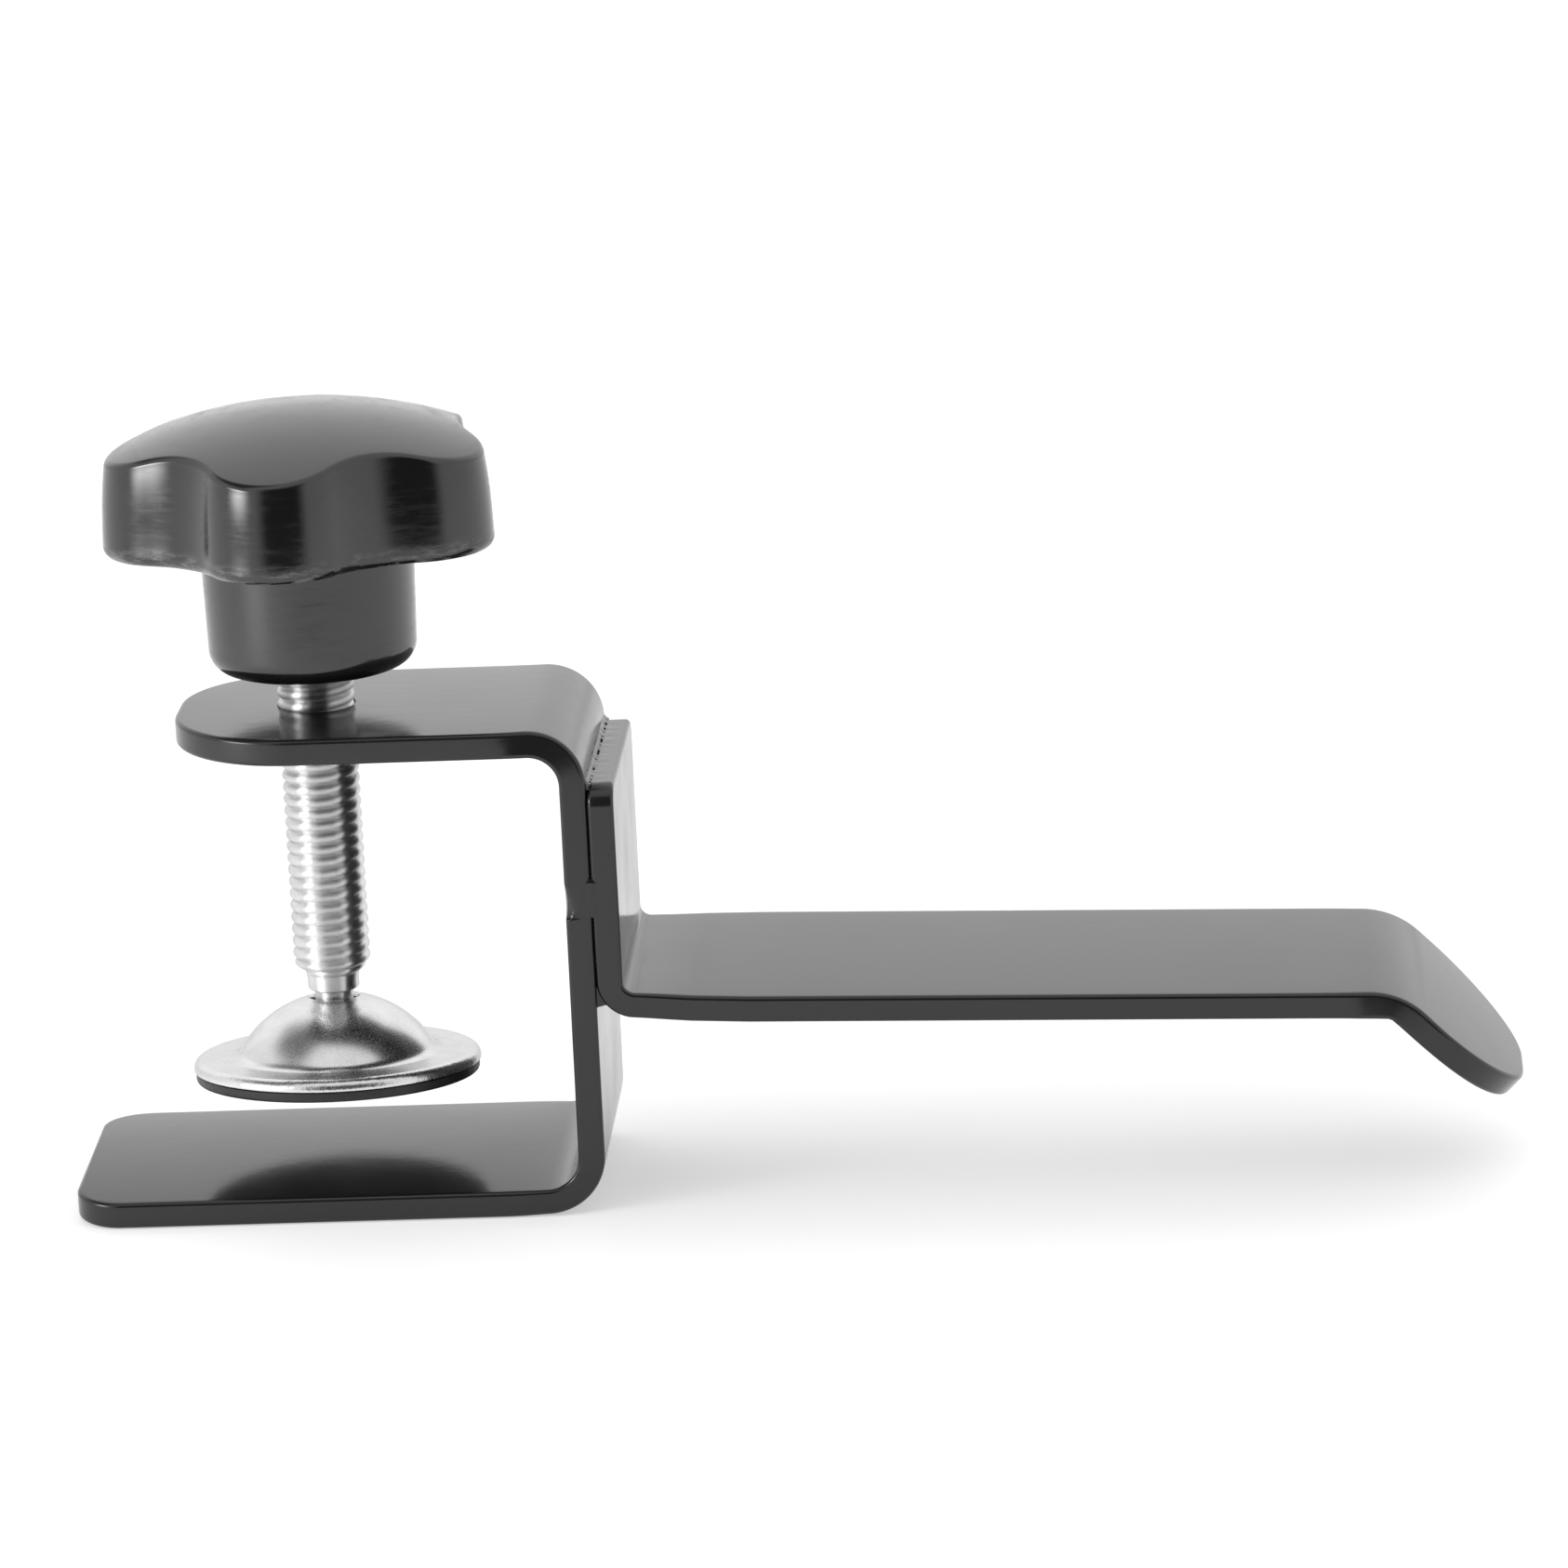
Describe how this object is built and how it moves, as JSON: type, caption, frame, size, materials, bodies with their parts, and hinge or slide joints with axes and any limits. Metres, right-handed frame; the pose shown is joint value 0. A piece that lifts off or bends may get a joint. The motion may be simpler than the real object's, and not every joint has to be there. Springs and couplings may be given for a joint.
{
  "type": "headphone hook",
  "caption": "Clamp-on headphone hook: a bent flat-bar clamp with a welded hook arm, tightened by a star-knob screw with a swivel foot.",
  "frame": {"origin": "lower jaw's inner face, under the screw's axis", "axes": "+Z along the screw towards the knob, +X from the spine to the hook's tip, +Y across the bar, away from the camera"},
  "size_m": [0.1482, 0.0389, 0.0815],
  "materials": {
    "black_coat": "glossy black powder coat",
    "zinc_plate": "bright zinc plate",
    "black_moulding": "glossy moulded",
    "black_rubber": "matt"
  },
  "bodies": {
    "bracket": {"clamp_bracket": "black_coat", "hook_arm": "black_coat", "top_weld": "black_coat", "bottom_weld": "black_coat", "side_tacks": "black_coat"},
    "screw": {"clamp_screw": "zinc_plate", "star_knob": "black_moulding"},
    "washer": {"retaining_washer": "zinc_plate"},
    "foot": {"swivel_cup": "zinc_plate", "grip_pad": "black_rubber"}
  },
  "joints": [
    {"name": "screw_travel", "type": "slide", "parent": "bracket", "child": "washer", "axis": [0, 0, 1], "range_m": [-0.0037, 0.024]},
    {"name": "screw_turn", "type": "hinge", "parent": "washer", "child": "screw", "pos_m": [0, 0, 0.0477], "axis": [0, 0, 1], "range_deg": [-1065.6, 6912]},
    {"name": "foot_tilt", "type": "hinge", "parent": "washer", "child": "foot", "pos_m": [0, 0, 0.0163], "axis": [1, 0, 0], "range_deg": [-3.5, 12.5]}
  ],
  "couplings": [
    {"joint": "screw_travel", "follows": "screw_turn", "m_per_rad": 0.00019894}
  ]
}
